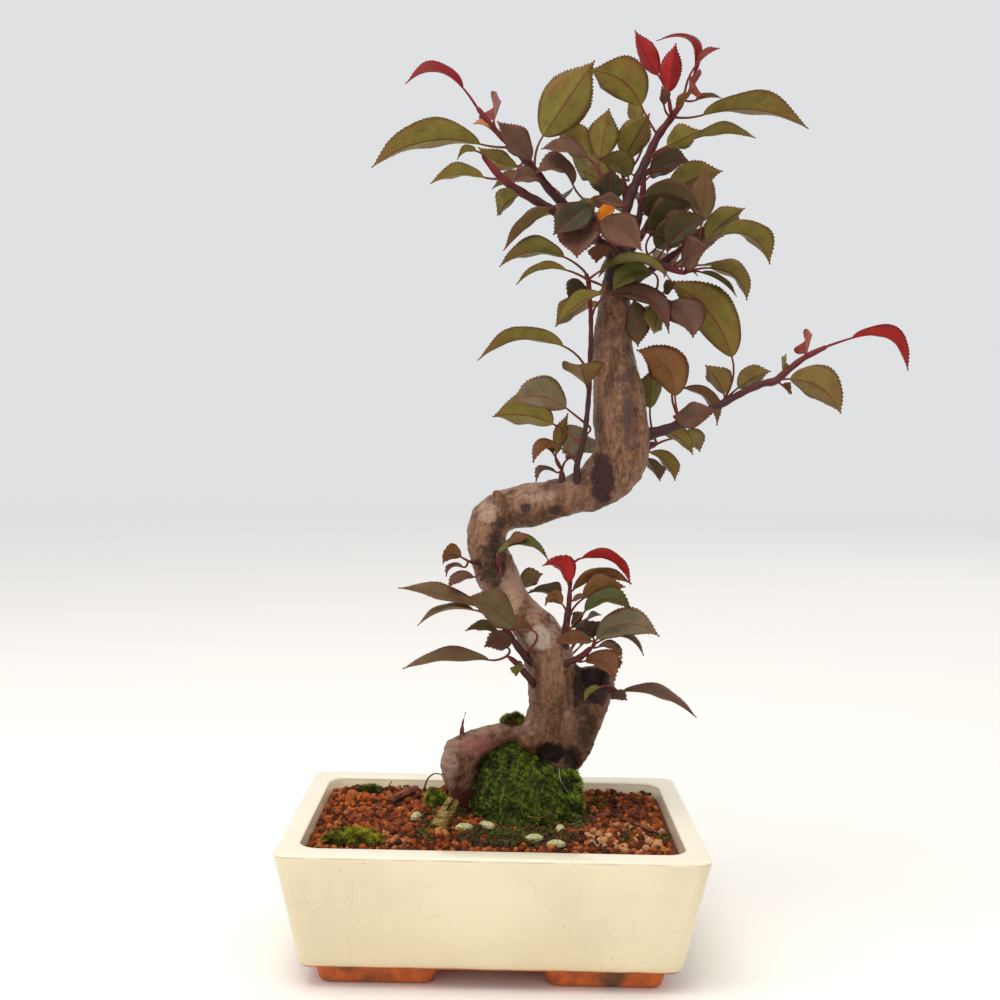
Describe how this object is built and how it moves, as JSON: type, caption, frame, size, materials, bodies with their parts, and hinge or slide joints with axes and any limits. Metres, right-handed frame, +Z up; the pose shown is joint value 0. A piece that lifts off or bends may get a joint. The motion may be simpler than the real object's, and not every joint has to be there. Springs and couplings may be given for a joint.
{
  "type": "potted bonsai tree",
  "caption": "Young apple bonsai with an S-bent trunk, an arched root and toothed bronze-green leaves, in a low rectangular cream glazed pot on feet, with granular soil and moss.",
  "frame": {"origin": "middle of the whole plant's bounding box, at the underside of the pot's feet", "axes": "+Z up, -Y the front that the picture shows, +X to its right, along the pot's long side"},
  "size_m": [0.3067, 0.15, 0.4692],
  "materials": {
    "cream_glaze": "glossy cream glaze with fine crazing, bare terracotta feet",
    "black_plastic": "moulded mesh",
    "akadama": "dry fired clay granules",
    "moss": "living moss",
    "bark": "smooth young bark with pores",
    "leaf": "living leaves, green above to crimson at the tips",
    "dead_wood": "split straw-coloured wood",
    "root": "dry dark root",
    "fertiliser": "pressed pale grains"
  },
  "bodies": {
    "root": {"dead_root": "root", "dead_root_left": "root", "drain_screen_left": "black_plastic", "drain_screen_right": "black_plastic", "fertiliser_grain_1": "fertiliser", "fertiliser_grain_2": "fertiliser", "fertiliser_grain_3": "fertiliser", "fertiliser_grain_4": "fertiliser", "fertiliser_grain_5": "fertiliser", "fertiliser_grain_6": "fertiliser", "moss_cushion_back": "moss", "moss_cushion_front": "moss", "moss_cushion_joint": "moss", "moss_cushion_leg": "moss", "moss_mound": "moss", "pot": "cream_glaze", "shoot_crown_far_right": "leaf", "shoot_crown_left": "leaf", "shoot_crown_left_low": "leaf", "shoot_crown_right": "leaf", "shoot_left_upright": "leaf", "shoot_lower_left": "leaf", "shoot_lower_right": "leaf", "shoot_right": "leaf", "soil": "akadama", "split_root": "dead_wood", "spur_back_left": "leaf", "spur_back_low": "leaf", "spur_back_mid": "leaf", "spur_back_right": "leaf", "spur_back_top": "leaf", "spur_bend_left": "leaf", "spur_bend_top": "leaf", "spur_crown_back": "leaf", "spur_crown_centre": "leaf", "spur_crown_front": "leaf", "spur_high_right": "leaf", "spur_limb": "leaf", "spur_lower_back": "leaf", "spur_lower_left": "leaf", "spur_lower_right": "leaf", "spur_mid_right": "leaf", "spur_right_back": "leaf", "spur_under_bend": "leaf", "trunk": "bark"}
  },
  "joints": []
}
